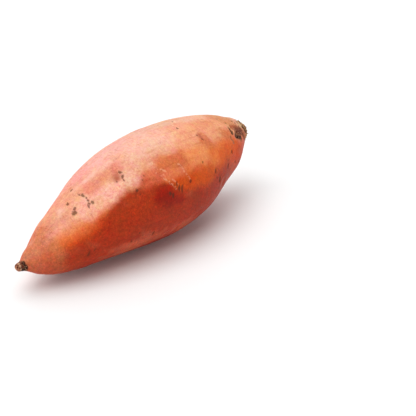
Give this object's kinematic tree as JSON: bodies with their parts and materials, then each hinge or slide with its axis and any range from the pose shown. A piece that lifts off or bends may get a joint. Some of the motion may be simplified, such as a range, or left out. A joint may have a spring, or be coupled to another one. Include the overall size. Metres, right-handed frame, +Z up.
{
  "type": "sweet potato",
  "caption": "Whole sweet potato: a long spindle-shaped root with a tapering tail nub and a blunt corky stem end, lying on a small flat spot.",
  "frame": {"origin": "centre of the bounding box seen from above, in the plane of the flat spot that the root lies on", "axes": "+X along the root from its tail nub to its stem end, +Y across it, +Z up from the surface it lies on"},
  "size_m": [0.1842, 0.0614, 0.0634],
  "materials": {
    "skin": "thin smooth root skin, salmon orange mottled with pink, satin, with brown corky scars"
  },
  "bodies": {
    "root": {"sweet_potato": "skin"}
  },
  "joints": []
}
